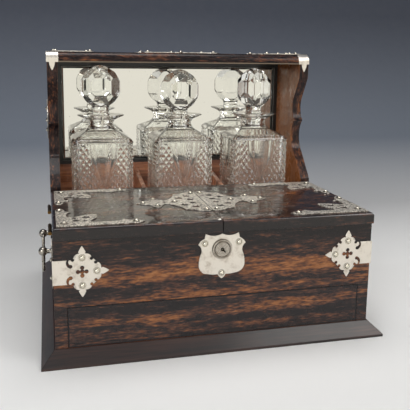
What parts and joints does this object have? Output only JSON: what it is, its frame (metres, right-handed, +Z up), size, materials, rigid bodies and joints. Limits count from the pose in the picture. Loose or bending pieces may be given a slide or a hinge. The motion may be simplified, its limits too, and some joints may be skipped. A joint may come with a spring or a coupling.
{
  "type": "tantalus",
  "caption": "Coromandel tantalus with hinged lids over a front compartment, a sprung drawer and a mirrored gallery whose canopy keeps the cut-glass decanters' stoppers down.",
  "frame": {"origin": "on the surface that it stands on, under the middle of the bounding box, which is also the middle of the case", "axes": "+X to the right as seen from the front, along the case's width, +Y from the front to the back, +Z up"},
  "size_m": [0.4146, 0.3466, 0.3474],
  "materials": {
    "coromandel": "gloss",
    "plinth_wood": "gloss",
    "mahogany": "satin",
    "red_lining": "satin",
    "ebonised_wood": "satin",
    "boxwood_line": "satin",
    "mirror": "polished",
    "silver_plate": "polished",
    "brass": "satin",
    "cut_glass": "polished"
  },
  "bodies": {
    "case": {"back_board": "coromandel", "back_lining": "red_lining", "base_board": "mahogany", "canopy": "coromandel", "canopy_bead": "boxwood_line", "canopy_mounts": "silver_plate", "case_hinge_leaves": "brass", "case_studs": "silver_plate", "corner_caps": "silver_plate", "decanter_floor": "red_lining", "drawer_ejector_spring": "brass", "dust_board": "mahogany", "front_panel": "coromandel", "gallery_mounts": "silver_plate", "handle_posts": "silver_plate", "hinge_pins": "brass", "left_gallery_panel": "coromandel", "left_side_board": "coromandel", "left_strap_mount": "silver_plate", "lock_case": "brass", "mirror": "mirror", "mirror_slip": "ebonised_wood", "plinth_back": "plinth_wood", "plinth_front": "plinth_wood", "plinth_left": "plinth_wood", "plinth_right": "plinth_wood", "right_gallery_panel": "coromandel", "right_side_board": "coromandel", "right_strap_mount": "silver_plate", "shield": "silver_plate", "well_dividers": "red_lining"},
    "left_lid": {"left_lid": "coromandel", "left_lid_corner_mounts": "silver_plate", "left_lid_centre_mount": "silver_plate", "left_lid_studs": "silver_plate", "left_lid_hinge_leaves": "brass", "left_lid_catch": "brass"},
    "right_lid": {"right_lid": "coromandel", "right_lid_corner_mounts": "silver_plate", "right_lid_centre_mount": "silver_plate", "right_lid_studs": "silver_plate", "right_lid_hinge_leaves": "brass", "right_lid_catch": "brass"},
    "drawer": {"drawer_front": "coromandel", "drawer_sides": "mahogany", "drawer_back": "mahogany", "drawer_bottom": "mahogany"},
    "lock_barrel": {"lock_barrel": "silver_plate"},
    "lock_bolt": {"lock_bolt": "brass"},
    "drawer_locking_pin": {"drawer_locking_pin": "brass"},
    "left_bail": {"left_bail": "silver_plate"},
    "right_bail": {"right_bail": "silver_plate"},
    "left_decanter": {"left_decanter": "cut_glass"},
    "left_stopper": {"left_stopper": "cut_glass"},
    "middle_decanter": {"middle_decanter": "cut_glass"},
    "middle_stopper": {"middle_stopper": "cut_glass"},
    "right_decanter": {"right_decanter": "cut_glass"},
    "right_stopper": {"right_stopper": "cut_glass"}
  },
  "joints": [
    {"name": "left_lid_hinge", "type": "hinge", "parent": "case", "child": "left_lid", "pos_m": [-0.1923, -0.065, 0.14255], "axis": [0, -1, 0], "range_deg": [0, 95]},
    {"name": "right_lid_hinge", "type": "hinge", "parent": "case", "child": "right_lid", "pos_m": [0.1923, -0.065, 0.14255], "axis": [0, 1, 0], "range_deg": [0, 95]},
    {"name": "drawer_slide", "type": "slide", "parent": "case", "child": "drawer", "axis": [0, -1, 0], "range_m": [0, 0.2]},
    {"name": "key_turn", "type": "hinge", "parent": "case", "child": "lock_barrel", "pos_m": [0, -0.1525, 0.1215], "axis": [0, -1, 0], "range_deg": [0, 90]},
    {"name": "bolt_slide", "type": "slide", "parent": "case", "child": "lock_bolt", "axis": [1, 0, 0], "range_m": [0, 0.008]},
    {"name": "locking_pin_slide", "type": "slide", "parent": "case", "child": "drawer_locking_pin", "axis": [0, 0, -1], "range_m": [0, 0.008]},
    {"name": "left_bail_swing", "type": "hinge", "parent": "case", "child": "left_bail", "pos_m": [-0.2015, 0, 0.094], "axis": [0, 1, 0], "range_deg": [-16, 195]},
    {"name": "right_bail_swing", "type": "hinge", "parent": "case", "child": "right_bail", "pos_m": [0.2015, 0, 0.094], "axis": [0, -1, 0], "range_deg": [-16, 195]},
    {"name": "left_decanter_lift", "type": "slide", "parent": "case", "child": "left_decanter", "axis": [0, 0, 1], "range_m": [0, 0.0035]},
    {"name": "left_stopper_turn", "type": "hinge", "parent": "left_decanter", "child": "left_stopper", "pos_m": [-0.116, 0.0815, 0.2455], "axis": [0, 0, 1], "continuous": true},
    {"name": "middle_decanter_lift", "type": "slide", "parent": "case", "child": "middle_decanter", "axis": [0, 0, 1], "range_m": [0, 0.0085]},
    {"name": "middle_stopper_turn", "type": "hinge", "parent": "middle_decanter", "child": "middle_stopper", "pos_m": [0, 0.0815, 0.2455], "axis": [0, 0, 1], "continuous": true},
    {"name": "right_decanter_lift", "type": "slide", "parent": "case", "child": "right_decanter", "axis": [0, 0, 1], "range_m": [0, 0.006]},
    {"name": "right_stopper_turn", "type": "hinge", "parent": "right_decanter", "child": "right_stopper", "pos_m": [0.116, 0.0815, 0.2455], "axis": [0, 0, 1], "continuous": true}
  ],
  "couplings": [
    {"joint": "bolt_slide", "follows": "key_turn", "m_per_rad": 0.00509}
  ]
}
